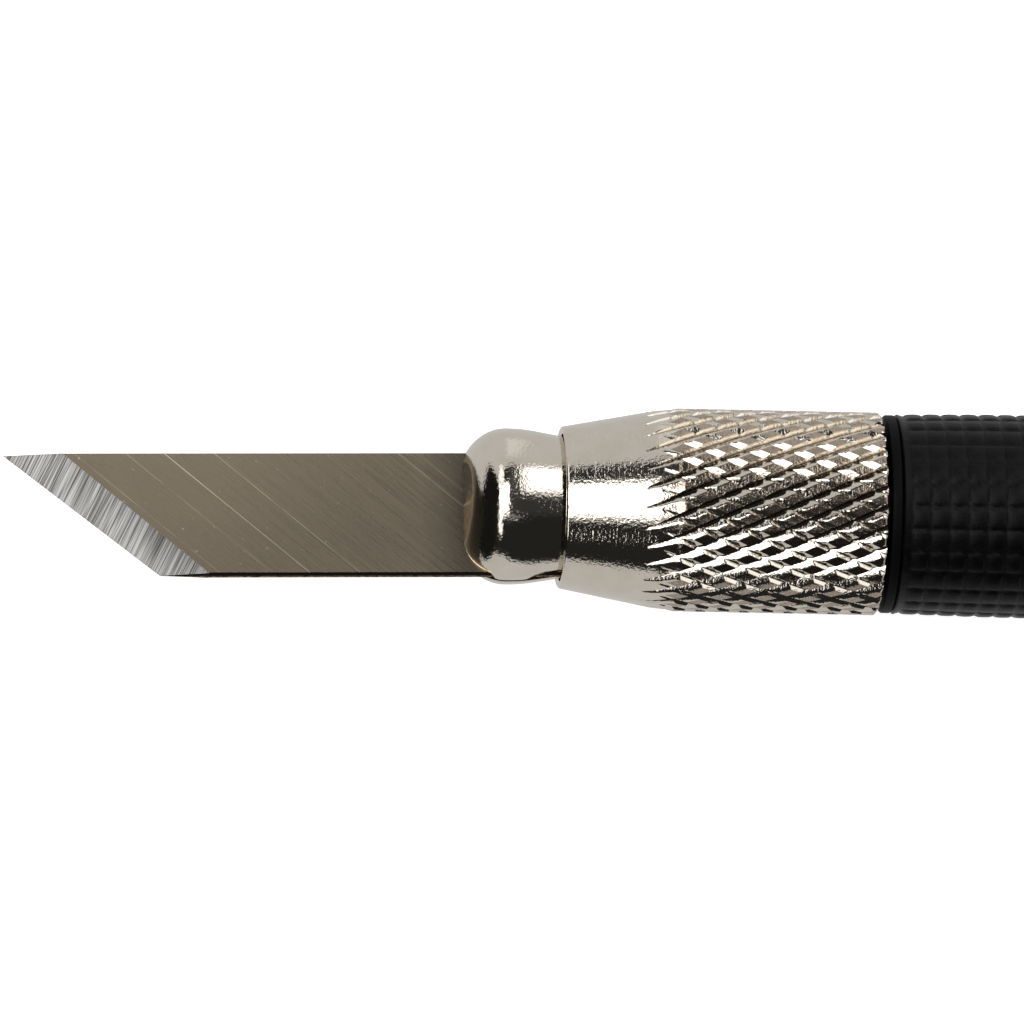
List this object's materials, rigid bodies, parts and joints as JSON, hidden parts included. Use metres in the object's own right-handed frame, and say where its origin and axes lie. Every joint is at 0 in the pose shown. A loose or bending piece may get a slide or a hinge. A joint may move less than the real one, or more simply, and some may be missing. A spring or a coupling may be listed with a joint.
{
  "type": "hobby craft knife",
  "caption": "Slim hobby craft knife: slanted steel blade in a two-jaw collet, closed by a knurled nut on a soft ribbed black handle.",
  "frame": {"origin": "centre of the flat face at the tail end, on the knife's long axis", "axes": "+X along the knife from the blade to the tail, +Z the normal of the blade's flat side, +Y across the blade towards its point"},
  "size_m": [0.142, 0.0104, 0.0094],
  "materials": {
    "nickel_plate": "bright nickel plating with a fine orange peel, knurled where it is gripped",
    "blade_steel": "satin blue-grey strip steel, ground bright along the cutting edge",
    "spring_steel": "drawn wire and stamped strip",
    "brass": "turned",
    "grip_rubber": "soft touch, fine grain, ribbed in small squares",
    "handle_plastic": "moulded, fine matt grain",
    "nylon": "smooth moulded"
  },
  "bodies": {
    "handle": {"handle_tube": "handle_plastic", "grip_sleeve": "grip_rubber", "front_ferrule": "brass", "nut_retaining_ring": "spring_steel", "key_pin": "spring_steel", "thrust_washer": "nylon", "tail_plug": "handle_plastic"},
    "nut": {"knurled_nut": "nickel_plate"},
    "collet": {"collet_shank": "nickel_plate", "shank_stop_clip": "spring_steel"},
    "upper_jaw": {"collet_upper_jaw": "nickel_plate"},
    "lower_jaw": {"collet_lower_jaw": "nickel_plate"},
    "blade": {"blade": "blade_steel"}
  },
  "joints": [
    {"name": "nut_turn", "type": "hinge", "parent": "handle", "child": "nut", "pos_m": [-0.1012, 0, 0], "axis": [1, 0, 0], "range_deg": [0, 720]},
    {"name": "collet_travel", "type": "slide", "parent": "handle", "child": "collet", "axis": [-1, 0, 0], "range_m": [0, 0.0014]},
    {"name": "upper_jaw_flex", "type": "hinge", "parent": "collet", "child": "upper_jaw", "pos_m": [-0.09935, 0, 0], "axis": [0, 1, 0], "range_deg": [0, 0.8]},
    {"name": "lower_jaw_flex", "type": "hinge", "parent": "collet", "child": "lower_jaw", "pos_m": [-0.09935, 0, 0], "axis": [0, -1, 0], "range_deg": [0, 0.8]},
    {"name": "blade_slide", "type": "slide", "parent": "collet", "child": "blade", "axis": [-0.9997, -0.0236, 0], "range_m": [0, 0.017]}
  ],
  "couplings": [
    {"joint": "nut_turn", "follows": "collet_travel", "rad_per_m": 8976},
    {"joint": "upper_jaw_flex", "follows": "collet_travel", "rad_per_m": 9.97},
    {"joint": "lower_jaw_flex", "follows": "collet_travel", "rad_per_m": 9.97}
  ]
}
